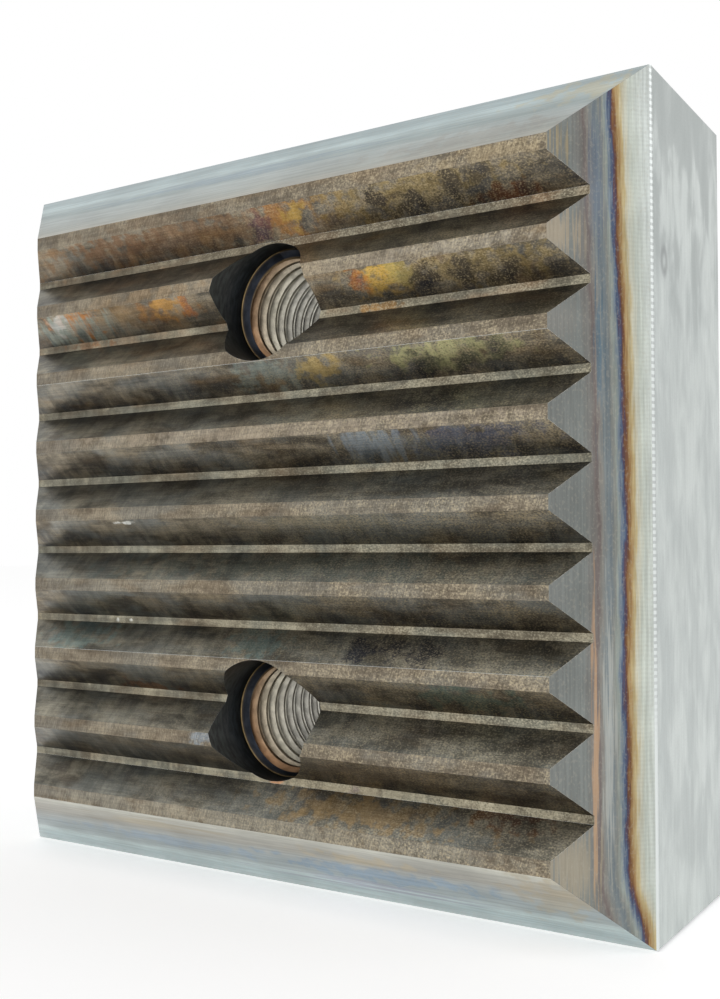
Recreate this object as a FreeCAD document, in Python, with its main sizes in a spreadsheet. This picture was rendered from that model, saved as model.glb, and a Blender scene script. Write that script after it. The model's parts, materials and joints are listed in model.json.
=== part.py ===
"""Soft jaw block with a grooved gripping face and two threaded holes.

The jaw is one block of steel.  It stands on its lower narrow side, with the
gripping face towards -Y and the flat mounting face towards +Y.  The origin
lies at the middle of the lower side, so the block rests on the plane Z = 0.
Sizes are in millimetres and degrees, and live in the document's sheet.
"""

import FreeCAD, Part
import os
import Sketcher

DRIVING_SIZES = {
    "BlockWidth": 100.0,
    "BlockHeight": 100.0,
    "BlockThickness": 35.0,
    "FaceChamfer": 9.0,
    "EdgeBreak": 0.3,
    "GrooveCount": 8,
    "GroovePitch": 10.0,
    "GrooveDepth": 3.65,
    "GrooveFloorWidth": 1.0,
    "GrooveAngle": 90.0,
    "HoleSpacing": 54.5,
    "ThreadDiameter": 16.0,
    "ThreadPitch": 2.0,
    "MouthDiameter": 16.0,
    "MouthDepth": 7.0,
    "MouthConeAngle": 90.0,
}

SHEET_NAME = "Sizes"
NODE_NAME = "jaw_block"
PARTS_FOLDER = "parts"
PLANE_TOLERANCE = 1e-4

# The core diameter of a metric internal thread by ISO 68-1: the thread stands
# 5/8 of its sharp triangle's height, sqrt(3) / 2 of the pitch, on each side.
CORE_DIAMETER = "Sizes.ThreadDiameter - 5 / 8 * sqrt(3) * Sizes.ThreadPitch"
LOWEST_GROOVE = "(Sizes.BlockHeight - (Sizes.GrooveCount - 1) * Sizes.GroovePitch) / 2"

START = 1
END = 2
CENTRE = 3
X_AXIS = -1
ORIGIN_POINT = (-1, START)


def add_sheet(document):
    """Write the driving sizes into a sheet and give each cell its alias."""
    sheet = document.addObject("Spreadsheet::Sheet", SHEET_NAME)
    for row, (alias, value) in enumerate(DRIVING_SIZES.items(), start=1):
        sheet.set(f"A{row}", alias)
        sheet.set(f"B{row}", str(value))
        sheet.setAlias(f"B{row}", alias)
    document.recompute()
    return sheet


def origin_feature(body, role):
    """Return the plane or axis of the body's own origin that has this role."""
    for feature in body.Origin.OriginFeatures:
        if feature.Role == role:
            return feature
    raise ValueError(f"{body.Label} has no origin feature {role}")


def add_sketch(body, name, plane_role):
    """Add a sketch that lies on one of the body's origin planes."""
    sketch = body.newObject("Sketcher::SketchObject", name)
    sketch.AttachmentSupport = [(origin_feature(body, plane_role), "")]
    sketch.MapMode = "FlatFace"
    return sketch


def add_quadrilateral(sketch, corners):
    """Draw a closed loop of four lines through the corners, joined end to end."""
    points = [FreeCAD.Vector(x, y, 0) for x, y in corners]
    lines = []
    for start, end in zip(points, points[1:] + points[:1]):
        lines.append(sketch.addGeometry(Part.LineSegment(start, end), False))
    for line, following in zip(lines, lines[1:] + lines[:1]):
        sketch.addConstraint(Sketcher.Constraint("Coincident", line, END, following, START))
    return lines


def add_dimension(sketch, name, expression, *constraint):
    """Add a named dimension to a sketch and bind it to the sheet."""
    index = sketch.addConstraint(Sketcher.Constraint(*constraint))
    sketch.renameConstraint(index, name)
    sketch.setExpression(f"Constraints.{name}", expression)


def check_cut(document, feature, base):
    """Recompute the document and make sure that the feature took material away."""
    document.recompute()
    if not feature.Shape.Volume < base.Shape.Volume:
        raise RuntimeError(f"{feature.Label} removes nothing from {base.Label}")


def edges_where(shape, test):
    """Return the names of the edges whose centre passes the test."""
    names = []
    for number, edge in enumerate(shape.Edges, start=1):
        if test(edge.CenterOfMass):
            names.append(f"Edge{number}")
    return names


def add_block(body, sheet):
    """Pad the plain rectangular blank upwards from the plane it stands on."""
    half_width = sheet.BlockWidth / 2
    half_thickness = sheet.BlockThickness / 2
    sketch = add_sketch(body, "BlankOutline", "XY_Plane")
    front, right, back, left = add_quadrilateral(sketch, [
        (-half_width, -half_thickness),
        (half_width, -half_thickness),
        (half_width, half_thickness),
        (-half_width, half_thickness),
    ])
    for line in (front, back):
        sketch.addConstraint(Sketcher.Constraint("Horizontal", line))
    for line in (right, left):
        sketch.addConstraint(Sketcher.Constraint("Vertical", line))
    corners_about_origin = (front, START, back, START, *ORIGIN_POINT)
    sketch.addConstraint(Sketcher.Constraint("Symmetric", *corners_about_origin))
    add_dimension(sketch, "Width", "Sizes.BlockWidth",
                  "DistanceX", front, START, front, END, sheet.BlockWidth)
    add_dimension(sketch, "Thickness", "Sizes.BlockThickness",
                  "DistanceY", right, START, right, END, sheet.BlockThickness)

    blank = body.newObject("PartDesign::Pad", "Blank")
    blank.Profile = sketch
    blank.setExpression("Length", "Sizes.BlockHeight")
    return blank


def add_face_chamfer(document, body, sheet, blank):
    """Bevel the four edges around the gripping face."""
    document.recompute()
    front = -sheet.BlockThickness / 2
    chamfer = body.newObject("PartDesign::Chamfer", "FaceBevel")
    around_the_face = edges_where(blank.Shape, lambda p: abs(p.y - front) < PLANE_TOLERANCE)
    chamfer.Base = (blank, around_the_face)
    chamfer.setExpression("Size", "Sizes.FaceChamfer")
    check_cut(document, chamfer, blank)
    return chamfer


def add_rim_breaks(document, body, sheet, bevelled):
    """Break the four blunt edges where the bevels meet the narrow sides."""
    rim = sheet.FaceChamfer - sheet.BlockThickness / 2
    breaks = body.newObject("PartDesign::Chamfer", "BrokenRims")
    breaks.Base = (bevelled, edges_where(bevelled.Shape, lambda p: abs(p.y - rim) < PLANE_TOLERANCE))
    breaks.setExpression("Size", "Sizes.EdgeBreak")
    check_cut(document, breaks, bevelled)
    return breaks


def add_edge_breaks(document, body, sheet, rimmed):
    """Break the sharp edges: between the narrow sides, and around the back."""
    half_width = sheet.BlockWidth / 2
    half_height = sheet.BlockHeight / 2
    back = sheet.BlockThickness / 2
    rim = sheet.FaceChamfer + sheet.EdgeBreak - back

    def sharp(point):
        to_side = half_width - abs(point.x)
        to_end = half_height - abs(point.z - half_height)
        outermost = min(to_side, to_end, back - point.y) < PLANE_TOLERANCE
        return outermost and point.y > rim + PLANE_TOLERANCE

    breaks = body.newObject("PartDesign::Chamfer", "BrokenEdges")
    breaks.Base = (rimmed, edges_where(rimmed.Shape, sharp))
    breaks.setExpression("Size", "Sizes.EdgeBreak")
    check_cut(document, breaks, rimmed)
    return breaks


def add_first_groove(document, body, sheet, base):
    """Cut the lowest groove right across the gripping face.

    Its section is a V with a narrow flat floor.  The sketch carries the flanks
    as far out of the face as the groove is deep, so they stay whole where the
    groove runs out through the bevels at its ends.
    """
    front = -sheet.BlockThickness / 2
    floor = front + sheet.GrooveDepth
    mouth = front - sheet.GrooveDepth
    middle = (sheet.BlockHeight - (sheet.GrooveCount - 1) * sheet.GroovePitch) / 2
    half_floor = sheet.GrooveFloorWidth / 2
    half_mouth = half_floor + (floor - mouth)
    sketch = add_sketch(body, "GrooveSection", "YZ_Plane")
    mouth_line, lower_flank, floor_line, upper_flank = add_quadrilateral(sketch, [
        (mouth, middle + half_mouth),
        (mouth, middle - half_mouth),
        (floor, middle - half_floor),
        (floor, middle + half_floor),
    ])
    centre_line = sketch.addGeometry(Part.LineSegment(
        FreeCAD.Vector(mouth, middle, 0), FreeCAD.Vector(floor, middle, 0)), True)
    constraint = Sketcher.Constraint
    sketch.addConstraint([
        constraint("Horizontal", centre_line),
        constraint("PointOnObject", centre_line, START, mouth_line),
        constraint("PointOnObject", centre_line, END, floor_line),
        constraint("Symmetric", mouth_line, START, mouth_line, END, centre_line),
        constraint("Symmetric", floor_line, START, floor_line, END, centre_line),
    ])
    add_dimension(sketch, "Middle", LOWEST_GROOVE,
                  "DistanceY", *ORIGIN_POINT, centre_line, END, middle)
    add_dimension(sketch, "FloorToOrigin", "Sizes.BlockThickness / 2 - Sizes.GrooveDepth",
                  "DistanceX", floor_line, START, *ORIGIN_POINT, -floor)
    add_dimension(sketch, "FlankLength", "2 * Sizes.GrooveDepth",
                  "DistanceX", centre_line, START, centre_line, END, floor - mouth)
    add_dimension(sketch, "FloorWidth", "Sizes.GrooveFloorWidth",
                  "DistanceY", floor_line, START, floor_line, END, 2 * half_floor)
    add_dimension(sketch, "Opening", "Sizes.GrooveAngle * 1 deg",
                  "Angle", upper_flank, START, lower_flank, END,
                  FreeCAD.Units.Quantity(f"{sheet.GrooveAngle} deg"))

    groove = body.newObject("PartDesign::Pocket", "Groove")
    groove.Profile = sketch
    groove.SideType = "Symmetric"
    groove.Type = "ThroughAll"
    check_cut(document, groove, base)
    return groove


def add_groove_pattern(document, body, groove):
    """Repeat the groove up the face at an even pitch."""
    pattern = body.newObject("PartDesign::LinearPattern", "Grooves")
    pattern.Originals = [groove]
    pattern.Direction = (origin_feature(body, "Z_Axis"), [""])
    pattern.Mode = "Spacing"
    pattern.setExpression("Offset", "Sizes.GroovePitch")
    pattern.setExpression("Occurrences", "Sizes.GrooveCount")
    body.Tip = pattern
    check_cut(document, pattern, groove)
    return pattern


def add_threaded_holes(document, body, sheet, base):
    """Bore the two fixing holes through the block, one above the other.

    Each has a plain mouth as wide as the thread, a cone at its bottom, and the
    thread's core bore from there to the back.
    """
    sketch = add_sketch(body, "HoleCentres", "XZ_Plane")
    sketch.setExpression("AttachmentOffset.Base.z", "Sizes.BlockThickness / 2")
    half_height = sheet.BlockHeight / 2
    half_spacing = sheet.HoleSpacing / 2
    centres = {
        "LowerHole": (half_height - half_spacing, "(Sizes.BlockHeight - Sizes.HoleSpacing) / 2"),
        "UpperHole": (half_height + half_spacing, "(Sizes.BlockHeight + Sizes.HoleSpacing) / 2"),
    }
    for name, (height, expression) in centres.items():
        circle = sketch.addGeometry(Part.Circle(
            FreeCAD.Vector(0, height, 0), FreeCAD.Vector(0, 0, 1), sheet.MouthDiameter / 2), False)
        sketch.addConstraint(Sketcher.Constraint("Vertical", *ORIGIN_POINT, circle, CENTRE))
        add_dimension(sketch, name, expression,
                      "DistanceY", *ORIGIN_POINT, circle, CENTRE, height)
        add_dimension(sketch, f"{name}Mouth", "Sizes.MouthDiameter",
                      "Diameter", circle, sheet.MouthDiameter)
    document.recompute()

    holes = body.newObject("PartDesign::Hole", "ThreadedHoles")
    holes.Profile = sketch
    holes.ThreadType = "None"
    holes.DepthType = "ThroughAll"
    holes.setExpression("Diameter", CORE_DIAMETER)
    holes.HoleCutType = "Counterdrill"
    holes.HoleCutCustomValues = True
    holes.setExpression("HoleCutDiameter", "Sizes.MouthDiameter")
    holes.setExpression("HoleCutDepth", "Sizes.MouthDepth")
    holes.setExpression("HoleCutCountersinkAngle", "Sizes.MouthConeAngle")
    check_cut(document, holes, base)
    return holes


def build_jaw(document, sheet):
    """Build the jaw block as one body."""
    body = document.addObject("PartDesign::Body", NODE_NAME)
    body.Label = NODE_NAME
    blank = add_block(body, sheet)
    bevelled = add_face_chamfer(document, body, sheet, blank)
    rimmed = add_rim_breaks(document, body, sheet, bevelled)
    broken = add_edge_breaks(document, body, sheet, rimmed)
    groove = add_first_groove(document, body, sheet, broken)
    grooves = add_groove_pattern(document, body, groove)
    add_threaded_holes(document, body, sheet, grooves)
    return body


def check_document(document):
    """Stop if any object of the document failed to compute."""
    for item in document.Objects:
        if {"Invalid", "Error"} & set(item.State):
            raise RuntimeError(f"{item.Label} failed: {item.State}")


def check_solid(body):
    """Stop unless the body is exactly one valid solid."""
    shape = body.Shape
    if shape.isNull() or not shape.isValid() or len(shape.Solids) != 1:
        raise RuntimeError(f"{body.Label} is not one valid solid")


def main():
    document = FreeCAD.newDocument("SoftJaw")
    sheet = add_sheet(document)
    jaw = build_jaw(document, sheet)
    document.recompute()
    check_document(document)
    check_solid(jaw)
    os.makedirs(PARTS_FOLDER, exist_ok=True)
    jaw.Shape.exportStep(f"{PARTS_FOLDER}/{jaw.Label}.step")
    box = jaw.Shape.BoundBox
    print(f"{jaw.Label}: {box.XLength:.2f} x {box.YLength:.2f} x {box.ZLength:.2f} mm, "
          f"{jaw.Shape.Volume / 1000:.2f} cm3")


main()
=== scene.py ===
"""Looks of a grooved soft jaw block for a vise.

The block is machined here a second time from one blank: bevels, grooves, hole
mouths and real screw threads, with worn edges.  Each of its faces then gets the
finish that heat, milling and handling leave on it, and the groove flanks also
get painted shade and light.  Shapes are in metres, and the finishes are placed
in millimetres.
"""

import json
import logging
import math
from dataclasses import dataclass, field
from enum import Enum
from typing import Callable, Optional, Sequence

import bmesh
import bpy
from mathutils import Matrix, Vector


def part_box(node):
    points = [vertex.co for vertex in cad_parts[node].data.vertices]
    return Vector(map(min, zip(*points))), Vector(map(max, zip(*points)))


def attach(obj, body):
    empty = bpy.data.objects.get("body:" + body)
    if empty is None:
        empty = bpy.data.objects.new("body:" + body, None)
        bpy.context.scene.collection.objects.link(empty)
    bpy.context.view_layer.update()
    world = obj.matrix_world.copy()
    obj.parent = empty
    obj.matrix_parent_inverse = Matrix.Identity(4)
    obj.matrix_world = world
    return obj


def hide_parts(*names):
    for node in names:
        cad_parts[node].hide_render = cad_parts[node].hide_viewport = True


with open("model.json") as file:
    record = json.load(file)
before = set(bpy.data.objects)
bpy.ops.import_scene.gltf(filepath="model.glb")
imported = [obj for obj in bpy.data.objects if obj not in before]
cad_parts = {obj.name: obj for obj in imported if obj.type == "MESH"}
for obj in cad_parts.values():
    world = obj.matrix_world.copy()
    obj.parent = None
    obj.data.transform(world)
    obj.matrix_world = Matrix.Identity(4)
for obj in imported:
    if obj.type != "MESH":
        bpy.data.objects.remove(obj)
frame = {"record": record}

LOG = logging.getLogger("soft_jaw")
MM = 0.001
TOUCHING = 0.01 * MM
ALIGNED = 0.999
SHARP_TURN = math.radians(30)
SMOOTH_TURN = math.radians(32)
NODE = "jaw_block"
ROOT_BODY = "root"

# The jaw's own sizes in millimetres, which place the finishes.
LOWEST, HIGHEST = ([round(value / MM, 4) for value in corner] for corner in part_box(NODE))
HALF_WIDTH = HIGHEST[0]
HEIGHT = HIGHEST[2]
FRONT = LOWEST[1]
THICKNESS = HIGHEST[1] - LOWEST[1]
BEVEL = 9.0
PATCH_DEPTH = 1000.0
# Depth in a groove where the painted shade on the flanks is full and the painted light by the land edge is
# gone.
GROOVE_SHADE_LINE = FRONT + 2.9

Colour = tuple[float, float, float]
WHITE: Colour = (1.0, 1.0, 1.0)
PointTest = Callable[[Vector], bool]


def srgb(red: int, green: int, blue: int) -> Colour:
    """Turn a paint-chart colour into the linear values that a shader takes.

    Args:
        red: Red from 0 to 255.
        green: Green from 0 to 255.
        blue: Blue from 0 to 255.

    Returns:
        The three linear values.
    """
    def linear(value: int) -> float:
        """Undo the display curve of one channel."""
        share = value / 255
        return share / 12.92 if share <= 0.04045 else ((share + 0.055) / 1.055) ** 2.4

    return linear(red), linear(green), linear(blue)


class Workbench:
    """The hand operations that shape a piece: primitives, cuts and edge work."""

    @staticmethod
    def clear_selection() -> None:
        """Leave nothing selected and nothing in edit mode."""
        if bpy.context.object and bpy.context.object.mode != "OBJECT":
            bpy.ops.object.mode_set(mode="OBJECT")
        bpy.ops.object.select_all(action="DESELECT")

    @staticmethod
    def pick(piece: bpy.types.Object) -> None:
        """Make one object the only selected and active one.

        Args:
            piece: The object to work on.
        """
        Workbench.clear_selection()
        piece.select_set(True)
        bpy.context.view_layer.objects.active = piece

    @staticmethod
    def cuboid(name: str, low: Vector, high: Vector) -> bpy.types.Object:
        """Add a box between two corners, with its place in its mesh.

        Args:
            name: Name of the new object.
            low: Lowest corner.
            high: Highest corner.

        Returns:
            The new object.
        """
        Workbench.clear_selection()
        bpy.ops.mesh.primitive_cube_add(size=1, location=(low + high) / 2)
        piece = bpy.context.object
        piece.name = name
        piece.scale = high - low
        bpy.ops.object.transform_apply(location=True, rotation=True, scale=True)
        return piece

    @staticmethod
    def edit(piece: bpy.types.Object, mode: str) -> bmesh.types.BMesh:
        """Open a piece in edit mode with nothing selected.

        Args:
            piece: The object to edit.
            mode: VERT, EDGE or FACE.

        Returns:
            The edit mesh, in which the caller selects.
        """
        Workbench.pick(piece)
        bpy.ops.object.mode_set(mode="EDIT")
        bpy.ops.mesh.select_mode(type=mode)
        bpy.ops.mesh.select_all(action="DESELECT")
        return bmesh.from_edit_mesh(piece.data)

    @staticmethod
    def close(piece: bpy.types.Object) -> None:
        """Leave edit mode.

        Args:
            piece: The object that is being edited.
        """
        bmesh.update_edit_mesh(piece.data)
        bpy.ops.object.mode_set(mode="OBJECT")

    @staticmethod
    def select(piece: bpy.types.Object, mode: str, test: PointTest) -> int:
        """Open a piece and select the edges or faces whose middle passes a test.

        Args:
            piece: The object to edit.
            mode: EDGE or FACE.
            test: Takes the middle point of an edge or a face.

        Returns:
            How many are selected.
        """
        mesh = Workbench.edit(piece, mode)
        parts = mesh.edges if mode == "EDGE" else mesh.faces
        chosen = [part for part in parts
                  if test(sum((vert.co for vert in part.verts), Vector()) / len(part.verts))]
        for part in chosen:
            part.select_set(True)
        bmesh.update_edit_mesh(piece.data)
        return len(chosen)

    @staticmethod
    def bevel_edges(piece: bpy.types.Object, test: PointTest, width: float, segments: int = 1) -> None:
        """Bevel the edges whose middle passes a test.

        Args:
            piece: The object to bevel.
            test: Takes an edge's middle point.
            width: Distance from the old edge to each new one.
            segments: Flats across the bevel.
        """
        count = Workbench.select(piece, "EDGE", test)
        bpy.ops.mesh.bevel(offset_type="OFFSET", offset=width, segments=segments, affect="EDGES")
        Workbench.close(piece)
        LOG.info("%s: %d edges bevelled by %.2f mm", piece.name, count, width / MM)

    @staticmethod
    def apply(piece: bpy.types.Object, kind: str, **settings: object) -> None:
        """Add a modifier, set it up and apply it.

        Args:
            piece: The object to modify.
            kind: The modifier's type.
            **settings: The modifier's own settings.
        """
        Workbench.pick(piece)
        modifier = piece.modifiers.new(kind.title(), kind)
        for name, value in settings.items():
            setattr(modifier, name, value)
        bpy.ops.object.modifier_apply(modifier=modifier.name)

    @staticmethod
    def cut(piece: bpy.types.Object, cutter: bpy.types.Object) -> None:
        """Take a cutter's body away from a piece and throw the cutter away.

        Args:
            piece: The object to cut.
            cutter: A closed mesh.
        """
        Workbench.apply(piece, "BOOLEAN", operation="DIFFERENCE", solver="EXACT", object=cutter)
        bpy.data.objects.remove(cutter)

    @staticmethod
    def clean(piece: bpy.types.Object, sliver: float) -> None:
        """Close up the slivers that cuts leave where two surfaces graze.

        Args:
            piece: The object to clean.
            sliver: Edges shorter than this are closed up, in metres.
        """
        Workbench.edit(piece, "VERT")
        bpy.ops.mesh.select_all(action="SELECT")
        bpy.ops.mesh.dissolve_degenerate(threshold=sliver)
        bpy.ops.object.mode_set(mode="OBJECT")

    @staticmethod
    def join(pieces: Sequence[bpy.types.Object]) -> bpy.types.Object:
        """Join several objects into the first.

        Args:
            pieces: The objects to join.

        Returns:
            The joined object.
        """
        Workbench.clear_selection()
        for piece in pieces:
            piece.select_set(True)
        bpy.context.view_layer.objects.active = pieces[0]
        bpy.ops.object.join()
        return pieces[0]


@dataclass(frozen=True)
class ThreadedHole:
    """One tapped hole: a plain mouth, a cone and a screw thread to the back."""

    centre_x: float
    centre_z: float
    core_radius: float
    mouth_radius: float = 8.0 * MM
    mouth_depth: float = 7.0 * MM
    thread_pitch: float = 2.0 * MM
    thread_radius: float = 8.0 * MM
    thread_clearance: float = 0.02 * MM
    flank_lean: float = math.radians(30)
    crest_round: float = 0.10 * MM
    steps_per_turn: int = 72
    spare_turns: int = 4
    weld: float = 0.001 * MM
    mouth_sides: int = 144

    @property
    def cone_depth(self) -> float:
        """Depth of the 45 degree cone between mouth and thread."""
        return self.mouth_radius - self.core_radius

    def radius_at(self, point: Vector) -> float:
        """Distance of a point from the hole's axis."""
        return math.hypot(point.x - self.centre_x, point.z - self.centre_z)

    def mouth_cutter(self, front: float) -> bpy.types.Object:
        """Make the drill that opens the mouth and its cone.

        Args:
            front: Where the gripping face lies along Y.

        Returns:
            A closed cutter whose axis lies along Y.
        """
        Workbench.clear_selection()
        bpy.ops.mesh.primitive_cylinder_add(
            vertices=self.mouth_sides, radius=self.mouth_radius, depth=2 * self.mouth_depth,
            location=(self.centre_x, front, self.centre_z), rotation=(math.pi / 2, 0, 0))
        drill = bpy.context.object
        drill.name = "mouth_drill"
        bpy.ops.object.transform_apply(location=True, rotation=True, scale=True)
        bottom = front + self.mouth_depth
        Workbench.select(drill, "FACE", lambda p: p.y > bottom - TOUCHING)
        tip_share = (self.core_radius - 0.5 * self.cone_depth) / self.mouth_radius
        tip_depth = 1.5 * self.cone_depth
        bpy.ops.mesh.extrude_region_move(TRANSFORM_OT_translate={"value": (0, tip_depth, 0)})
        bpy.ops.transform.resize(
            value=(tip_share, 1, tip_share),
            center_override=(self.centre_x, bottom + tip_depth, self.centre_z))
        Workbench.close(drill)
        return drill

    def thread_profile(self) -> list[tuple[float, float]]:
        """Section of the thread over one pitch, as radius and distance along.

        Returns:
            The points from the middle of one crest to the middle of the next.
        """
        pitch = self.thread_pitch
        outer = self.thread_radius - self.thread_clearance
        height = outer - self.core_radius
        lean = math.tan(self.flank_lean)
        half_flank = height * lean
        half_root = pitch / 16
        crest_end = pitch / 2 - half_root - half_flank
        round_off = self.crest_round
        rising = [
            (self.core_radius, 0.0),
            (self.core_radius, crest_end - round_off),
            (self.core_radius + 0.25 * round_off, crest_end - 0.2 * round_off),
            (self.core_radius + round_off, crest_end + lean * round_off),
            (outer - round_off, crest_end + half_flank - lean * round_off),
            (outer - 0.3 * round_off, crest_end + half_flank + 0.1 * round_off),
            (outer, pitch / 2),
        ]
        falling = [(radius, pitch - along) for radius, along in reversed(rising[:-1])]
        return rising + falling

    def tap(self, front: float, back: float) -> bpy.types.Object:
        """Make the screw-shaped tap that cuts the thread.

        Args:
            front: Where the gripping face lies along Y.
            back: Where the mounting face lies along Y.

        Returns:
            A closed cutter whose axis lies along Y.
        """
        turns = math.ceil((back - front) / self.thread_pitch) + self.spare_turns
        mesh = bpy.data.meshes.new("tap")
        points = [(radius, 0.0, along) for radius, along in self.thread_profile()]
        mesh.from_pydata(points, [(i, i + 1) for i in range(len(points) - 1)], [])
        tap = bpy.data.objects.new("tap", mesh)
        bpy.context.scene.collection.objects.link(tap)
        Workbench.apply(
            tap, "SCREW", axis="Z", angle=math.tau, screw_offset=self.thread_pitch,
            iterations=turns, steps=self.steps_per_turn, render_steps=self.steps_per_turn,
            use_merge_vertices=False, use_smooth_shade=False)
        Workbench.edit(tap, "VERT")
        bpy.ops.mesh.select_all(action="SELECT")
        bpy.ops.mesh.remove_doubles(threshold=self.weld)
        low = 1.5 * self.thread_pitch
        high = (turns - 0.5) * self.thread_pitch
        for height, upward in ((low, False), (high, True)):
            bpy.ops.mesh.select_all(action="SELECT")
            bpy.ops.mesh.bisect(plane_co=(0, 0, height), plane_no=(0, 0, 1), use_fill=True,
                                clear_inner=not upward, clear_outer=upward)
        bpy.ops.mesh.select_all(action="SELECT")
        bpy.ops.mesh.normals_make_consistent(inside=False)
        Workbench.close(tap)
        tap.rotation_euler = (-math.pi / 2, 0, 0)
        middle = (low + high) / 2
        tap.location = (self.centre_x, (front + back) / 2 - middle, self.centre_z)
        Workbench.pick(tap)
        bpy.ops.object.transform_apply(location=True, rotation=True, scale=True)
        return tap


@dataclass
class JawBlock:
    """The jaw: one block with bevels, grooves, hole mouths and threads."""

    low: Vector
    high: Vector
    holes: list[ThreadedHole]
    face_bevel: float = BEVEL * MM
    edge_break: float = 0.3 * MM
    groove_count: int = 8
    groove_pitch: float = 10.0 * MM
    groove_depth: float = 3.65 * MM
    groove_floor: float = 1.0 * MM
    worn_edge: float = 0.10 * MM
    worn_land: float = 0.30 * MM
    sliver: float = 0.002 * MM
    piece: Optional[bpy.types.Object] = None

    @classmethod
    def from_frame(cls) -> "JawBlock":
        """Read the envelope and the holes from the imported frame.

        Returns:
            A jaw block that has no mesh yet.
        """
        low, high = (Vector(corner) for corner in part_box(NODE))
        holes = []
        for mount in frame["record"]["mounts"]:
            if mount["kind"] == "threaded_hole":
                centre_x, _, centre_z = mount["pos_m"]
                holes.append(ThreadedHole(centre_x, centre_z, mount["dims"]["r_mm"] * MM))
        return cls(low, high, holes)

    @property
    def front(self) -> float:
        """Where the gripping face lies along Y."""
        return self.low.y

    @property
    def middle_z(self) -> float:
        """Height of the block's middle."""
        return (self.low.z + self.high.z) / 2

    @property
    def inner_reach(self) -> float:
        """Distance from the middle of the square gripping face to its bevels."""
        return self.high.x - self.face_bevel

    def groove_heights(self) -> list[float]:
        """Height of the middle of each groove."""
        offset = (self.groove_count - 1) / 2
        return [self.middle_z + (i - offset) * self.groove_pitch for i in range(self.groove_count)]

    def build(self) -> bpy.types.Object:
        """Machine the block.

        Returns:
            The finished object, with no finishes yet.
        """
        self.piece = Workbench.cuboid("jaw", self.low, self.high)
        self.bevel_rims()
        Workbench.cut(self.piece, self.groove_cutters())
        for hole in self.holes:
            Workbench.cut(self.piece, hole.mouth_cutter(self.front))
        self.weigh_edges()
        Workbench.apply(
            self.piece, "BEVEL", width=self.worn_land, segments=3, limit_method="WEIGHT",
            use_clamp_overlap=True, miter_outer="MITER_SHARP")
        for hole in self.holes:
            Workbench.cut(self.piece, hole.tap(self.front, self.high.y))
        Workbench.clean(self.piece, self.sliver)
        return self.piece

    def bevel_rims(self) -> None:
        """Cut the wide bevels round the gripping face and break the other edges."""
        Workbench.bevel_edges(self.piece, lambda p: p.y < self.front + TOUCHING, self.face_bevel)
        rim = self.front + self.face_bevel
        Workbench.bevel_edges(self.piece, lambda p: abs(p.y - rim) < TOUCHING, self.edge_break)

        def sharp(point: Vector) -> bool:
            """Tell the sharp outer edges from those of the bevels."""
            to_side = min(point.x - self.low.x, self.high.x - point.x)
            to_end = min(point.z - self.low.z, self.high.z - point.z)
            outermost = min(to_side, to_end, self.high.y - point.y) < TOUCHING
            return outermost and point.y > rim + self.edge_break + TOUCHING

        Workbench.bevel_edges(self.piece, sharp, self.edge_break)

    def weigh_edges(self) -> None:
        """Mark how far each sharp edge is worn: the lands' long edges most of all."""
        shape = bmesh.new()
        shape.from_mesh(self.piece.data)
        weights = shape.edges.layers.float.new("bevel_weight_edge")
        slight = self.worn_edge / self.worn_land
        for edge in shape.edges:
            if len(edge.link_faces) != 2 or edge.calc_face_angle() < SHARP_TURN:
                continue
            run = edge.verts[1].co - edge.verts[0].co
            at_front = all(vert.co.y < self.front + TOUCHING for vert in edge.verts)
            along = abs(run.x) > ALIGNED * run.length
            inside = abs(edge.verts[0].co.z - self.middle_z) < self.inner_reach - TOUCHING
            mitre = abs(run.x) > 0.1 * run.length and abs(run.y) > 0.1 * run.length
            corner = mitre and abs(abs(run.x) - abs(run.z)) < 0.01 * run.length
            if at_front and along and inside:
                edge[weights] = 1.0
            else:
                edge[weights] = 2 * slight if corner else slight
        shape.to_mesh(self.piece.data)
        shape.free()

    def groove_cutters(self) -> bpy.types.Object:
        """Make the row of cutters for the grooves, as one object.

        Returns:
            The cutters, longer than the block and twice as deep as the grooves.
        """
        half_floor = self.groove_floor / 2
        half_mouth = half_floor + 2 * self.groove_depth
        floor = self.front + self.groove_depth
        overhang = Vector((self.groove_pitch, 0, 0))
        cutters = []
        for height in self.groove_heights():
            low = Vector((self.low.x, self.front - self.groove_depth, height - half_mouth))
            high = Vector((self.high.x, floor, height + half_mouth))
            cutter = Workbench.cuboid("groove_cutter", low - overhang, high + overhang)
            Workbench.select(cutter, "FACE", lambda p: p.y > floor - TOUCHING)
            bpy.ops.transform.resize(
                value=(1, 1, half_floor / half_mouth), center_override=(0, floor, height))
            Workbench.close(cutter)
            cutters.append(cutter)
        return Workbench.join(cutters)


class Region(Enum):
    """The kinds of face on the block, each with a finish of its own."""

    LAND = "land"
    FLOOR = "floor"
    UPPER_FLANK = "upper_flank"
    LOWER_FLANK = "lower_flank"
    TOP_BEVEL = "top_bevel"
    BOTTOM_BEVEL = "bottom_bevel"
    RIGHT_BEVEL = "right_bevel"
    LEFT_BEVEL = "left_bevel"
    SIDE = "side"
    BACK = "back"
    MOUTH = "mouth"
    THREAD = "thread"
    WORN_EDGE = "worn_edge"
    BRIGHT_EDGE = "bright_edge"
    MITRE = "mitre"
    GROOVE_END = "groove_end"


Value = bpy.types.NodeSocket | float | Sequence[float]


class Seed:
    """Shifts that set the noise patterns of a finish apart from one another."""

    FLECK = 3.0
    STROKE = 5.0
    LIE = 7.0
    SWAY = 9.0
    CHILL = 11.0
    FINE = 13.0
    CLOUD = 17.0
    SCUFF = 19.0
    WARMTH = 23.0
    RAGGED = 31.0
    STREAK = 37.0
    SMEAR = 41.0
    TURNED = 43.0
    SHADE_BREAKUP = 47.0
    SHAKE = 53.0


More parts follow.
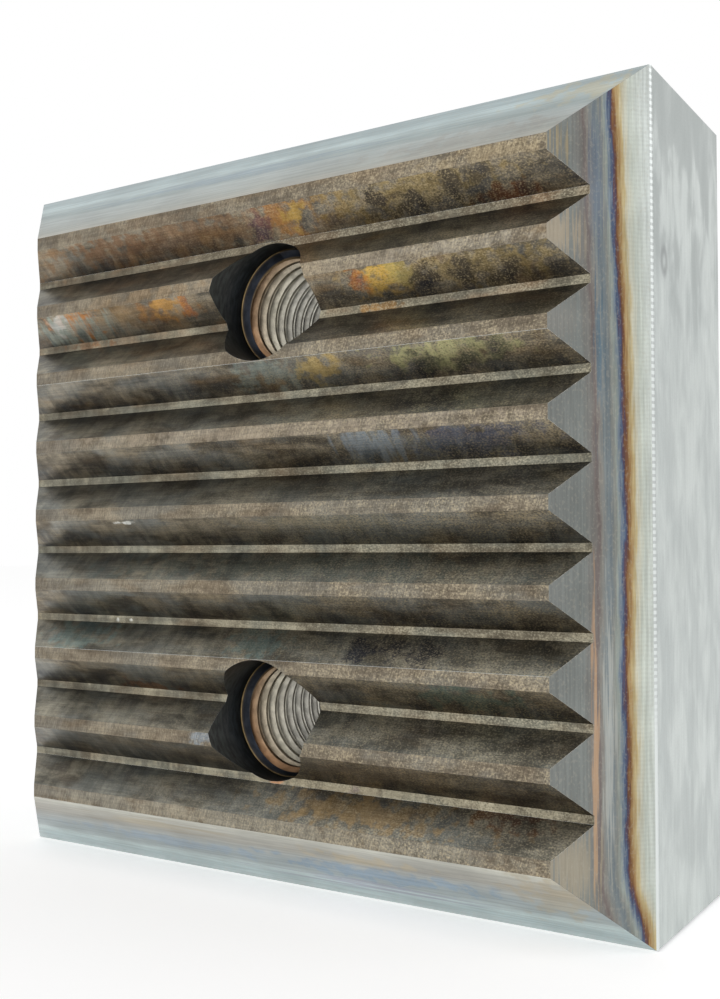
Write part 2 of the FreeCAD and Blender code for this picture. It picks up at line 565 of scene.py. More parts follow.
class Graph:
    """Wires the nodes of one procedural steel finish.

    Points are the object's own coordinates in millimetres.
    """

    def __init__(self, name: str) -> None:
        """Start a material with a plain metal shader.

        Args:
            name: Name of the material.
        """
        self.material = bpy.data.materials.new(name)
        self.material.use_nodes = True
        self.tree = self.material.node_tree
        self.tree.nodes.clear()
        self.shader = self.node("ShaderNodeBsdfPrincipled")
        output = self.node("ShaderNodeOutputMaterial")
        self.tree.links.new(self.shader.outputs["BSDF"], output.inputs["Surface"])
        place = self.node("ShaderNodeTexCoord").outputs["Object"]
        self.point = self.vector("SCALE", place, scale=1 / MM)
        parts = self.node("ShaderNodeSeparateXYZ")
        self.put(parts.inputs[0], self.point)
        self.x, self.y, self.z = parts.outputs

    def node(self, kind: str, **settings: object) -> bpy.types.Node:
        """Add a node.

        Args:
            kind: The node's type.
            **settings: The node's own settings.

        Returns:
            The new node.
        """
        made = self.tree.nodes.new(kind)
        for name, value in settings.items():
            setattr(made, name, value)
        return made

    def put(self, socket: bpy.types.NodeSocket, value: Value) -> None:
        """Link a socket to another, or set it to a plain value.

        Args:
            socket: The input to feed.
            value: A socket, a number, a vector or a colour.
        """
        if isinstance(value, bpy.types.NodeSocket):
            self.tree.links.new(value, socket)
        elif socket.type == "RGBA":
            socket.default_value = (*value, 1.0)
        else:
            socket.default_value = value

    def vector(self, operation: str, first: Value, second: Value = (0, 0, 0),
               scale: Value = 1.0) -> bpy.types.NodeSocket:
        """Do one step of vector arithmetic.

        Args:
            operation: What to do.
            first: First vector.
            second: Second vector, where the operation has one.
            scale: Factor of the SCALE operation.

        Returns:
            The resulting vector.
        """
        step = self.node("ShaderNodeVectorMath", operation=operation)
        self.put(step.inputs[0], first)
        if operation == "SCALE":
            self.put(step.inputs["Scale"], scale)
        else:
            self.put(step.inputs[1], second)
        return step.outputs["Vector"]

    def math(self, operation: str, first: Value, second: Value = 0.0,
             clamp: bool = False) -> bpy.types.NodeSocket:
        """Do one step of arithmetic.

        Args:
            operation: What to do.
            first: First number.
            second: Second number, where the operation has one.
            clamp: Whether the result is kept between 0 and 1.

        Returns:
            The resulting number.
        """
        step = self.node("ShaderNodeMath", operation=operation, use_clamp=clamp)
        self.put(step.inputs[0], first)
        self.put(step.inputs[1], second)
        return step.outputs[0]

    def remap(self, value: Value, low: float, high: float, to_low: float = 0.0,
              to_high: float = 1.0) -> bpy.types.NodeSocket:
        """Spread one range smoothly over another.

        Args:
            value: The number to remap.
            low: Start of its range.
            high: End of its range.
            to_low: Result at the start.
            to_high: Result at the end.

        Returns:
            The remapped number.
        """
        step = self.node("ShaderNodeMapRange", interpolation_type="SMOOTHSTEP")
        for socket, number in zip(step.inputs, (value, low, high, to_low, to_high)):
            self.put(socket, number)
        return step.outputs[0]

    def noise(self, size: Sequence[float], detail: float = 3.0, roughness: float = 0.55,
              seed: float = 0.0, turn: float = 0.0, warp: float = 0.0) -> bpy.types.NodeSocket:
        """Read a cloudy pattern.

        Args:
            size: Size of a cloud along X, Y and Z in millimetres.
            detail: How many finer layers it has.
            roughness: How strong the finer layers are.
            seed: Shifts the pattern.
            turn: Turns it in the plane of the gripping face, in degrees.
            warp: Distortion of the clouds.

        Returns:
            A number around one half.
        """
        place = self.node("ShaderNodeMapping", vector_type="TEXTURE")
        self.put(place.inputs["Vector"], self.point)
        place.inputs["Scale"].default_value = size
        place.inputs["Rotation"].default_value = (0, math.radians(turn), 0)
        place.inputs["Location"].default_value = (seed, 2 * seed, 3 * seed)
        cloud = self.node("ShaderNodeTexNoise")
        self.put(cloud.inputs["Vector"], place.outputs[0])
        cloud.inputs["Scale"].default_value = 1.0
        cloud.inputs["Detail"].default_value = detail
        cloud.inputs["Roughness"].default_value = roughness
        cloud.inputs["Distortion"].default_value = warp
        return cloud.outputs[0]

    def ramp(self, value: Value, stops: Sequence[tuple[float, Colour]]) -> bpy.types.NodeSocket:
        """Turn a number into a colour.

        Args:
            value: A number from 0 to 1.
            stops: Places and colours along the ramp.

        Returns:
            The colour.
        """
        step = self.node("ShaderNodeValToRGB")
        marks = step.color_ramp.elements
        while len(marks) < len(stops):
            marks.new(0.5)
        for mark, (place, colour) in zip(marks, sorted(stops)):
            mark.position = place
            mark.color = (*colour, 1.0)
        self.put(step.inputs[0], value)
        return step.outputs[0]

    def mix(self, share: Value, first: Value, second: Value) -> bpy.types.NodeSocket:
        """Blend two colours.

        Args:
            share: How much of the second there is.
            first: First colour.
            second: Second colour.

        Returns:
            The blended colour.
        """
        step = self.node("ShaderNodeMix", data_type="RGBA")
        self.put(step.inputs["Factor"], share)
        self.put(step.inputs[6], first)
        self.put(step.inputs[7], second)
        return step.outputs[2]

    def patch(self, colour: Value, patch: "HeatPatch", ragged: Value) -> bpy.types.NodeSocket:
        """Lay a patch over a colour.

        Args:
            colour: The colour so far.
            patch: The patch to lay.
            ragged: Cloudy pattern that frays its rim.

        Returns:
            The new colour.
        """
        place = self.node("ShaderNodeMapping", vector_type="TEXTURE")
        self.put(place.inputs["Vector"], self.point)
        place.inputs["Location"].default_value = (patch.x, 0.0, patch.z)
        place.inputs["Scale"].default_value = (patch.width, PATCH_DEPTH, patch.height)
        reach = self.node("ShaderNodeVectorMath", operation="LENGTH")
        self.put(reach.inputs[0], place.outputs[0])
        fray = self.remap(ragged, 0.25, 0.75, -0.75, 0.75)
        rim = self.math("ADD", reach.outputs["Value"], fray)
        return self.mix(self.remap(rim, 1.15, 0.35, 0.0, patch.share), colour, patch.colour)

    def bump(self, height: Value, depth: float, strength: float = 1.0) -> None:
        """Give the surface fine relief.

        Args:
            height: The relief from 0 to 1.
            depth: How deep it is, in millimetres.
            strength: How much of it shows.
        """
        step = self.node("ShaderNodeBump")
        step.inputs["Strength"].default_value = strength
        step.inputs["Distance"].default_value = depth * MM
        self.put(step.inputs["Height"], height)
        self.put(self.shader.inputs["Normal"], step.outputs[0])

    def finish(self, colour: Value, roughness: Value) -> bpy.types.Material:
        """Close the material as bare metal.

        Args:
            colour: Colour of the metal.
            roughness: How dull it is.

        Returns:
            The material.
        """
        self.put(self.shader.inputs["Base Color"], colour)
        self.put(self.shader.inputs["Roughness"], roughness)
        self.shader.inputs["Metallic"].default_value = 1.0
        return self.material


@dataclass(frozen=True)
class HeatPatch:
    """An oval patch of heat colour, soot or wear, ragged at its rim (millimetres)."""

    x: float
    z: float
    width: float
    height: float
    colour: Colour
    share: float = 0.6
    streaky: bool = False


@dataclass(frozen=True)
class ScaledSteel:
    """Heat-scaled steel of the gripping face: mottled, speckled and streaked, with painted shade and light on
    the flanks.
    """

    name: str
    shadow: Colour
    base: Colour
    fleck: Colour
    warm: Colour
    cool: Colour
    warm_share: float = 0.45
    cool_share: float = 0.45
    fleck_share: float = 0.55
    # Painted light on a flank by the land edge, and painted shade on it towards the groove floor.
    rim_light_gain: float = 0.0
    groove_shade_share: float = 0.0
    hatch: float = 0.0
    streaks: float = 0.12
    roughness: float = 0.4
    patches: tuple[HeatPatch, ...] = ()

    def material(self) -> bpy.types.Material:
        """Make the finish."""
        graph = Graph(self.name)
        mottle = graph.noise((7.0, 3.0, 3.0), detail=5.0, roughness=0.62, warp=0.4)
        colour = graph.mix(graph.remap(mottle, 0.36, 0.64), self.shadow, self.base)
        height = graph.remap(graph.z, 56.0, 78.0, 0.25, 1.0)
        warmth = graph.remap(
            graph.noise((9.0, 3.5, 3.5), seed=Seed.WARMTH), 0.48, 0.68, 0.0, self.warm_share)
        colour = graph.mix(graph.math("MULTIPLY", warmth, height), colour, self.warm)
        cloud = graph.noise((10.0, 4.0, 4.0), seed=Seed.CHILL)
        chill = graph.remap(cloud, 0.42, 0.62, 0.0, self.cool_share)
        low = graph.remap(graph.z, 80.0, 60.0, 0.3, 1.0)
        colour = graph.mix(graph.math("MULTIPLY", chill, low), colour, self.cool)
        ragged = graph.noise((1.6, 1.6, 1.6), detail=4.0, seed=Seed.RAGGED)
        streaky = graph.noise((1.2, 6.0, 6.0), detail=2.0, seed=Seed.STREAK)
        for patch in self.patches:
            colour = graph.patch(colour, patch, streaky if patch.streaky else ragged)
        # Painted shade: the flank darkens in soot colour towards the groove floor, broken up by a cloudy
        # pattern.
        if self.groove_shade_share:
            shade_breakup = graph.remap(graph.noise((2.4, 7.0, 7.0), detail=3.0, seed=Seed.SHADE_BREAKUP), 0.46, 0.6)
            deep = graph.remap(graph.y, FRONT + 1.1, GROOVE_SHADE_LINE, 0.0, self.groove_shade_share)
            colour = graph.mix(graph.math("MULTIPLY", shade_breakup, deep), colour, SOOT_AND_SHADE)
        colour = self.grain(graph, colour, streaky, mottle)
        # Painted light: the flank is brightened towards the groove's mouth by the land edge.
        if self.rim_light_gain:
            rim_light = graph.remap(graph.y, GROOVE_SHADE_LINE, FRONT, 1.0, 1.0 + self.rim_light_gain)
            colour = graph.vector("SCALE", colour, scale=rim_light)
        return graph.finish(colour, self.roughness)

    def grain(self, graph: Graph, colour: Value, streaky: Value, mottle: Value) -> bpy.types.NodeSocket:
        """Add streaks, flecks, hatch and their relief.

        Args:
            graph: The finish in the making.
            colour: Its colour so far.
            streaky: Streaks that run down the flank.
            mottle: Large mottling, which also thins the flecks.

        Returns:
            The finished colour.
        """
        along = graph.noise((9.0, 0.28, 0.28), detail=3.0, seed=Seed.LIE)
        down = graph.remap(streaky, 0.36, 0.64, 1.0 - self.streaks, 1.0 + self.streaks)
        across = graph.remap(along, 0.36, 0.64, 0.9, 1.1)
        colour = graph.vector("SCALE", colour, scale=graph.math("MULTIPLY", down, across))
        fleck = graph.noise((0.26, 0.2, 0.2), detail=2.0, roughness=0.6, seed=Seed.FLECK)
        rubbed = graph.math("MULTIPLY", graph.remap(graph.x, -38.0, 34.0, 0.3, 1.3),
                            graph.remap(mottle, 0.36, 0.62, 0.45, 1.0))
        bright = graph.math("MULTIPLY", graph.remap(fleck, 0.5, 0.68, 0.0, self.fleck_share), rubbed)
        colour = graph.mix(bright, colour, self.fleck)
        dark = graph.math("MULTIPLY", graph.remap(fleck, 0.5, 0.34, 0.0, 0.42), rubbed)
        colour = graph.mix(dark, colour, graph.vector("SCALE", self.shadow, scale=0.55))
        relief = graph.math("ADD", fleck, graph.math("MULTIPLY", along, 0.5))
        if self.hatch:
            strokes = graph.noise((0.16, 0.16, 1.6), detail=1.0, seed=Seed.STROKE, turn=18.0)
            cut = graph.remap(strokes, 0.4, 0.6, 1.0 - self.hatch, 1.0 + self.hatch)
            colour = graph.vector("SCALE", colour, scale=cut)
            relief = graph.math("ADD", relief, strokes)
        graph.bump(relief, 0.03, 0.6)
        return colour


@dataclass(frozen=True)
class TemperedBevel:
    """A bevel whose heat colours run in bands along its length.

    The bands are given in millimetres from the bevel's inner edge.
    """

    name: str
    bands: tuple[tuple[float, Colour], ...]
    along_x: bool
    inner: float
    outward: float = 1.0
    width: float = BEVEL
    wobble: float = 0.3
    curl: float = 0.0
    drift: float = 0.0
    fleck: Colour = srgb(178, 172, 158)
    fleck_share: float = 0.2
    milling: float = 0.0
    roughness: float = 0.33
    patches: tuple[HeatPatch, ...] = ()

    def material(self) -> bpy.types.Material:
        """Make the finish."""
        graph = Graph(self.name)
        across = graph.z if self.along_x else graph.x
        reach = graph.math("MULTIPLY", graph.math("SUBTRACT", across, self.inner), self.outward)
        if self.curl:
            bend = graph.remap(graph.z, BEVEL, 1.0, 0.0, self.curl)
            reach = graph.math("SUBTRACT", reach, bend)
        long_size = (16.0, 60.0, 60.0) if self.along_x else (60.0, 60.0, 14.0)
        sway = graph.remap(
            graph.noise(long_size, detail=1.5, seed=Seed.SWAY), 0.2, 0.8, -self.wobble, self.wobble)
        reach = graph.math("ADD", reach, sway)
        if self.drift:
            reach = graph.math("ADD", reach, graph.remap(graph.z, 58.0, 94.0, -0.5 * self.drift, self.drift))
        fine_size = (3.0, 0.3, 0.3) if self.along_x else (0.3, 0.3, 3.0)
        fine = graph.noise(fine_size, detail=2.0, seed=Seed.FINE)
        reach = graph.math("ADD", reach, graph.remap(fine, 0.3, 0.7, -0.12, 0.12))
        place = graph.math("DIVIDE", reach, self.width)
        stops = [(at / self.width, tone) for at, tone in self.bands]
        colour = graph.ramp(place, stops)
        ragged = graph.noise((2.0, 2.0, 2.0), detail=4.0, seed=Seed.RAGGED)
        streak_size = (10.0, 0.35, 0.35) if self.along_x else (0.28, 0.28, 9.0)
        streaky = graph.noise(streak_size, detail=3.0, seed=Seed.STREAK)
        for patch in self.patches:
            colour = graph.patch(colour, patch, streaky if patch.streaky else ragged)
        cloud = graph.noise((9.0, 9.0, 9.0), detail=4.0, seed=Seed.CLOUD)
        shade = graph.math("MULTIPLY", graph.remap(cloud, 0.34, 0.66, 0.92, 1.07),
                           graph.remap(streaky, 0.34, 0.66, 0.9, 1.1))
        colour = graph.vector("SCALE", colour, scale=shade)
        fleck_size = (0.4, 0.3, 0.3) if self.along_x else (0.3, 0.3, 0.4)
        fleck = graph.noise(fleck_size, detail=2.0, seed=Seed.FLECK)
        colour = graph.mix(graph.remap(fleck, 0.52, 0.68, 0.0, self.fleck_share), colour, self.fleck)
        relief = graph.math("ADD", streaky, graph.math("MULTIPLY", fleck, 0.6))
        if self.milling:
            colour, relief = self.mill(graph, colour, relief, place)
        graph.bump(relief, 0.02, 0.5)
        return graph.finish(colour, self.roughness)

    def mill(self, graph: Graph, colour: Value, relief: Value,
             place: Value) -> tuple[bpy.types.NodeSocket, bpy.types.NodeSocket]:
        """Cut the fine lattice that the mill left on the outer half.

        Args:
            graph: The finish in the making.
            colour: Its colour so far.
            relief: Its relief so far.
            place: Share of the bevel's width.

        Returns:
            The new colour and relief.
        """
        pitch = math.tau / self.milling
        shake = graph.remap(graph.noise((3.0, 3.0, 3.0), seed=Seed.SHAKE), 0.2, 0.8, -2.0, 2.0)
        rows = graph.math("SINE", graph.math("ADD", graph.math("MULTIPLY", graph.z, pitch), shake))
        columns = graph.math("SINE", graph.math("ADD", graph.math("MULTIPLY", graph.x, 1.3 * pitch), shake))
        outer = graph.remap(place, 0.7, 0.82)
        lattice = graph.math("MULTIPLY", graph.math("ADD", rows, columns), outer)
        cut = graph.remap(lattice, -2.0, 2.0, 0.955, 1.045)
        relief = graph.math("ADD", relief, graph.math("MULTIPLY", lattice, 0.12))
        return graph.vector("SCALE", colour, scale=cut), relief


@dataclass(frozen=True)
class GroundSteel:
    """Pale ground steel of the sides and the back, cloudy and scuffed."""

    name: str
    dark: Colour
    light: Colour
    lie: Sequence[float] = (0.25, 0.25, 14.0)
    cloud: Sequence[float] = (5.0, 5.0, 14.0)
    roughness: float = 0.38
    patches: tuple[HeatPatch, ...] = ()
    rings: tuple[tuple[float, float], ...] = ()
    ring_radius: float = 0.8
    ring_squash: float = 0.62
    ring_colour: Colour = srgb(108, 110, 112)

    def material(self) -> bpy.types.Material:
        """Make the finish."""
        graph = Graph(self.name)
        cloud = graph.noise(self.cloud, detail=3.0, warp=0.3)
        colour = graph.mix(graph.remap(cloud, 0.36, 0.66), self.dark, self.light)
        scuff = graph.noise((0.9, 0.9, 5.0), detail=5.0, seed=Seed.SCUFF, warp=0.8)
        colour = graph.vector("SCALE", colour, scale=graph.remap(scuff, 0.35, 0.68, 0.965, 1.03))
        lie = graph.noise(self.lie, detail=3.0, seed=Seed.LIE)
        colour = graph.vector("SCALE", colour, scale=graph.remap(lie, 0.34, 0.66, 0.965, 1.03))
        for patch in self.patches:
            colour = graph.patch(colour, patch, cloud)
        for across, height in self.rings:
            colour = self.ring(graph, colour, across, height)
        grain = graph.noise((0.25, 0.25, 0.25), detail=2.0, seed=Seed.FLECK)
        colour = graph.vector("SCALE", colour, scale=graph.remap(grain, 0.3, 0.7, 0.97, 1.03))
        graph.bump(graph.math("ADD", lie, grain), 0.012, 0.5)
        rough = graph.remap(cloud, 0.3, 0.7, self.roughness + 0.05, self.roughness - 0.05)
        return graph.finish(colour, rough)

    def ring(self, graph: Graph, colour: Value, across: float, height: float) -> bpy.types.NodeSocket:
        """Mark a small dark dent ring on the sides.

        Args:
            graph: The finish in the making.
            colour: Its colour so far.
            across: Where the ring lies along Y.
            height: Its height.

        Returns:
            The new colour.
        """
        offset = graph.vector("SUBTRACT", graph.point, (HALF_WIDTH, across, height))
        scaled = graph.vector("MULTIPLY", offset, (1.0, 1.0, self.ring_squash))
        reach = graph.node("ShaderNodeVectorMath", operation="LENGTH")
        graph.put(reach.inputs[0], scaled)
        rim = graph.math("ABSOLUTE", graph.math("SUBTRACT", reach.outputs["Value"], self.ring_radius))
        return graph.mix(graph.remap(rim, 0.7, 0.0, 0.0, 0.5), colour, self.ring_colour)


@dataclass(frozen=True)
class BoreSteel:
    """Steel inside a hole, its tone changing with depth (millimetres along Y)."""

    name: str
    tones: tuple[tuple[float, Colour], ...]
    roughness: float = 0.35

    def material(self) -> bpy.types.Material:
        """Make the finish."""
        graph = Graph(self.name)
        depth = graph.math("DIVIDE", graph.math("SUBTRACT", graph.y, FRONT), THICKNESS)
        stops = [((at - FRONT) / THICKNESS, tone) for at, tone in self.tones]
        colour = graph.ramp(depth, stops)
        smear = graph.noise((1.4, 0.5, 1.4), detail=4.0, seed=Seed.SMEAR)
        colour = graph.vector("SCALE", colour, scale=graph.remap(smear, 0.32, 0.68, 0.72, 1.25))
        turned = graph.noise((3.0, 0.12, 3.0), detail=2.0, seed=Seed.TURNED)
        graph.bump(turned, 0.015, 0.4)
        return graph.finish(colour, self.roughness)


@dataclass(frozen=True)
class EdgeSteel:
    """Rubbed or burred edge: bright flecks on a duller base."""

    name: str
    dull: Colour
    bright: Colour
    bright_share: float = 0.7
    grain: float = 0.5
    serration: float = 0.0
    roughness: float = 0.35

    def material(self) -> bpy.types.Material:
        """Make the finish."""
        graph = Graph(self.name)
        size = (self.grain * 2.5, self.grain, self.grain)
        fleck = graph.noise(size, detail=4.0, roughness=0.65, seed=Seed.FLECK)
        share = graph.remap(fleck, 0.4, 0.62, 0.0, self.bright_share)
        if self.serration:
            teeth = graph.math("SINE", graph.math("MULTIPLY", graph.z, math.tau / self.serration))
            upper = graph.remap(graph.z, 22.0, 34.0, 0.0, 0.75)
            notch = graph.math("MULTIPLY", graph.remap(teeth, 0.3, -0.6), upper)
            share = graph.math("SUBTRACT", 1.0, notch, clamp=True)
        colour = graph.mix(share, self.dull, self.bright)
        graph.bump(fleck, 0.03, 0.5)
        return graph.finish(colour, self.roughness)


# Dark soot colour of spots on the flanks, also used for the flanks' painted shade towards the groove floor.
SOOT_AND_SHADE = srgb(40, 43, 52)
STRAW = srgb(196, 150, 76)
YELLOW = srgb(222, 182, 84)
RUST = srgb(126, 92, 60)
OLIVE = srgb(146, 126, 78)
TEAL = srgb(98, 118, 116)

UPPER_FLANK_PATCHES = (
    HeatPatch(-14.0, 87.6, 27.0, 3.0, RUST, 0.5),
    HeatPatch(3.5, 88.0, 4.2, 2.2, srgb(166, 116, 62), 0.55),
    HeatPatch(5.2, 87.8, 2.0, 1.3, srgb(190, 164, 84), 0.5),
    HeatPatch(-0.5, 87.2, 1.8, 1.6, srgb(88, 68, 84), 0.65),
    HeatPatch(23.0, 87.8, 13.0, 2.4, OLIVE, 0.6),
    HeatPatch(17.0, 88.0, 1.8, 1.7, SOOT_AND_SHADE, 0.75),
    HeatPatch(22.0, 86.6, 2.2, 1.6, SOOT_AND_SHADE, 0.7),
    HeatPatch(28.0, 87.8, 2.0, 1.4, SOOT_AND_SHADE, 0.7),
    HeatPatch(32.0, 88.4, 1.8, 1.2, SOOT_AND_SHADE, 0.6),
    HeatPatch(35.0, 86.0, 4.0, 1.1, srgb(98, 54, 36), 0.75),
    HeatPatch(-34.0, 77.8, 5.0, 1.8, srgb(178, 114, 50), 0.65),
    HeatPatch(-35.0, 76.8, 8.0, 2.2, srgb(156, 166, 156), 0.7, streaky=True),
    HeatPatch(-17.0, 78.2, 5.5, 1.7, srgb(150, 108, 66), 0.6),
    HeatPatch(-16.0, 78.3, 3.4, 1.2, STRAW, 0.55),
    HeatPatch(-12.8, 77.9, 1.4, 1.2, srgb(168, 84, 48), 0.35),
    HeatPatch(19.0, 77.8, 5.6, 2.2, srgb(166, 138, 82), 0.7),
    HeatPatch(18.4, 78.2, 2.8, 1.5, YELLOW, 0.6),
    HeatPatch(21.5, 78.0, 2.0, 1.4, srgb(186, 176, 110), 0.5),
    HeatPatch(15.2, 77.9, 1.6, 1.3, srgb(180, 92, 46), 0.5),
    HeatPatch(31.0, 77.8, 10.0, 2.2, OLIVE, 0.6),
    HeatPatch(24.5, 77.0, 2.0, 1.8, SOOT_AND_SHADE, 0.75),
    HeatPatch(30.0, 77.8, 1.8, 1.6, SOOT_AND_SHADE, 0.7),
    HeatPatch(35.0, 76.8, 2.0, 1.4, SOOT_AND_SHADE, 0.65),
    HeatPatch(2.5, 67.6, 6.5, 2.0, srgb(132, 144, 138), 0.6),
    HeatPatch(8.5, 67.9, 3.6, 1.6, srgb(176, 150, 88), 0.7),
    HeatPatch(27.0, 68.0, 8.5, 1.7, srgb(174, 172, 124), 0.75),
    HeatPatch(24.0, 67.0, 2.0, 1.6, SOOT_AND_SHADE, 0.7),
    HeatPatch(30.0, 67.4, 1.8, 1.4, SOOT_AND_SHADE, 0.7),
    HeatPatch(34.0, 67.8, 1.6, 1.4, SOOT_AND_SHADE, 0.6),
    HeatPatch(17.5, 57.6, 5.5, 2.2, srgb(150, 160, 168), 0.7, streaky=True),
    HeatPatch(31.0, 57.6, 8.0, 2.2, srgb(88, 98, 124), 0.45),
    HeatPatch(30.0, 27.6, 6.5, 2.0, srgb(98, 122, 112), 0.55),
    HeatPatch(-21.0, 26.0, 5.0, 0.9, srgb(130, 84, 46), 0.65),
    HeatPatch(-23.3, 48.7, 1.5, 0.22, srgb(235, 235, 230), 1.0),
    HeatPatch(0.0, 17.6, 44.0, 2.6, srgb(124, 118, 108), 0.5),
    HeatPatch(-37.5, 78.2, 1.6, 1.4, srgb(176, 178, 174), 0.7),
    HeatPatch(-25.0, 88.4, 8.0, 1.2, srgb(112, 84, 64), 0.5),
    HeatPatch(8.0, 48.4, 14.0, 1.2, srgb(140, 134, 116), 0.5, streaky=True),
)
LOWER_FLANK_PATCHES = (
    HeatPatch(0.0, 42.7, 32.0, 2.2, srgb(84, 96, 94), 0.4),
    HeatPatch(-33.0, 32.7, 6.5, 2.2, TEAL, 0.6),
    HeatPatch(-1.0, 32.7, 5.0, 2.2, TEAL, 0.55),
    HeatPatch(15.0, 32.5, 2.4, 1.8, SOOT_AND_SHADE, 0.85),
    HeatPatch(20.0, 33.0, 2.2, 1.6, SOOT_AND_SHADE, 0.8),
    HeatPatch(24.5, 32.4, 2.0, 1.5, SOOT_AND_SHADE, 0.75),
    HeatPatch(16.0, 12.9, 15.0, 2.0, srgb(146, 120, 78), 0.55),
    HeatPatch(34.0, 14.0, 5.0, 1.1, srgb(84, 50, 36), 0.65),
    HeatPatch(26.0, 62.6, 5.0, 1.8, SOOT_AND_SHADE, 0.5),
)
FLOOR_PATCHES = (
    HeatPatch(1.0, 15.0, 1.5, 1.0, srgb(200, 112, 44), 0.9),
    HeatPatch(13.0, 15.0, 1.2, 0.9, srgb(98, 70, 102), 0.7),
    HeatPatch(-33.0, 75.0, 5.0, 0.8, srgb(150, 100, 56), 0.6),
    HeatPatch(17.0, 75.0, 3.0, 0.8, srgb(168, 124, 64), 0.6),
    HeatPatch(-27.9, 35.0, 0.3, 0.3, srgb(220, 220, 210), 1.0),
    HeatPatch(-25.2, 35.0, 0.35, 0.3, srgb(220, 220, 210), 1.0),
    HeatPatch(-38.0, 50.0, 10.0, 60.0, srgb(92, 88, 78), 0.5),
    HeatPatch(0.0, 85.0, 44.0, 1.6, srgb(112, 102, 86), 0.6),
    HeatPatch(10.0, 15.0, 30.0, 1.6, srgb(172, 164, 140), 0.5),
)
LAND_PATCHES = (
    HeatPatch(-8.6, 20.2, 1.8, 1.6, srgb(150, 160, 168), 0.75),
    HeatPatch(0.0, 9.9, 44.0, 1.6, srgb(160, 154, 138), 0.6),
    HeatPatch(8.0, 80.0, 34.0, 1.8, srgb(170, 158, 138), 0.55),
    HeatPatch(0.0, 60.0, 40.0, 1.8, srgb(168, 156, 138), 0.55),
    HeatPatch(34.0, 90.0, 9.0, 1.4, srgb(168, 152, 122), 0.6),
    HeatPatch(30.0, 80.0, 9.0, 1.2, srgb(164, 158, 144), 0.5),
    HeatPatch(-20.0, 90.0, 14.0, 1.2, srgb(120, 104, 86), 0.5),
    HeatPatch(-42.0, 50.0, 7.0, 60.0, srgb(118, 112, 102), 0.6),
    HeatPatch(-18.0, 80.0, 9.0, 1.2, srgb(140, 116, 84), 0.5),
)


def gripping_finishes() -> dict[Region, bpy.types.Material]:
    """Make the finishes of the lands and grooves."""
    return {
        Region.LAND: ScaledSteel(
            "land", srgb(112, 102, 88), srgb(148, 138, 120), srgb(196, 182, 152), srgb(156, 132, 100),
            srgb(138, 138, 130), hatch=0.12, streaks=0.08, patches=LAND_PATCHES).material(),
        Region.FLOOR: ScaledSteel(
            "groove_floor", srgb(104, 97, 83), srgb(154, 147, 127), srgb(192, 184, 160), srgb(150, 112, 76),
            srgb(134, 138, 128), streaks=0.16, patches=FLOOR_PATCHES).material(),
        # Both flanks get painted shade towards the groove floor and painted light by the land edge.
        Region.UPPER_FLANK: ScaledSteel(
            "upper_flank", srgb(80, 75, 67), srgb(140, 131, 114), srgb(176, 160, 126), srgb(150, 118, 74),
            srgb(126, 130, 128), cool_share=0.6, rim_light_gain=0.3, groove_shade_share=0.5,
            patches=UPPER_FLANK_PATCHES).material(),
        Region.LOWER_FLANK: ScaledSteel(
            "lower_flank", srgb(74, 72, 65), srgb(126, 122, 109), srgb(160, 150, 126), srgb(124, 98, 68),
            srgb(110, 114, 111), warm_share=0.35, rim_light_gain=0.38, groove_shade_share=0.3,
            patches=LOWER_FLANK_PATCHES).material(),
    }


RIGHT_BANDS = (
    (0.0, srgb(122, 125, 122)), (2.6, srgb(124, 128, 125)), (3.4, srgb(122, 120, 116)),
    (3.8, srgb(116, 107, 104)), (4.1, srgb(134, 132, 126)), (4.5, srgb(124, 131, 132)),
    (4.9, srgb(112, 121, 125)), (5.2, srgb(132, 134, 129)), (5.5, srgb(144, 151, 145)),
    (5.75, srgb(118, 130, 141)), (5.95, srgb(80, 92, 116)), (6.12, srgb(88, 72, 84)),
    (6.3, srgb(118, 84, 60)), (6.55, srgb(160, 132, 92)), (6.9, srgb(184, 168, 128)),
    (7.2, srgb(194, 192, 174)), (7.7, srgb(192, 198, 188)), (9.0, srgb(204, 210, 206)),
)
TOP_BANDS = (
    (0.0, srgb(168, 166, 156)), (1.2, srgb(156, 160, 154)), (2.5, srgb(161, 167, 164)),
    (3.5, srgb(164, 172, 170)), (4.5, srgb(146, 158, 157)), (5.5, srgb(158, 171, 171)),
    (6.4, srgb(176, 191, 192)), (7.2, srgb(157, 172, 174)), (9.0, srgb(155, 169, 172)),
)
BOTTOM_BANDS = (
    (0.0, srgb(204, 202, 190)), (0.8, srgb(184, 182, 172)), (2.4, srgb(163, 159, 150)),
    (3.4, srgb(170, 173, 170)), (4.5, srgb(157, 166, 168)), (5.6, srgb(160, 168, 168)),
    (6.4, srgb(186, 198, 197)), (7.4, srgb(172, 186, 187)), (9.0, srgb(178, 188, 188)),
)
RIGHT_PATCHES = (
    HeatPatch(41.6, 80.0, 2.4, 3.2, srgb(172, 160, 140), 0.8, streaky=True),
    HeatPatch(39.8, 90.0, 2.4, 3.0, srgb(178, 162, 128), 0.8, streaky=True),
    HeatPatch(42.0, 70.0, 2.0, 2.6, srgb(140, 138, 132), 0.5, streaky=True),
    HeatPatch(42.5, 10.0, 3.0, 5.0, srgb(168, 158, 138), 0.7, streaky=True),
    HeatPatch(45.3, 66.0, 0.4, 9.0, srgb(86, 118, 138), 0.55, streaky=True),
    HeatPatch(45.2, 86.0, 0.8, 8.0, srgb(104, 116, 134), 0.5, streaky=True),
    HeatPatch(46.0, 24.0, 0.6, 14.0, srgb(182, 184, 178), 0.7, streaky=True),
    HeatPatch(44.8, 22.0, 0.3, 16.0, srgb(188, 156, 126), 0.8, streaky=True),
)
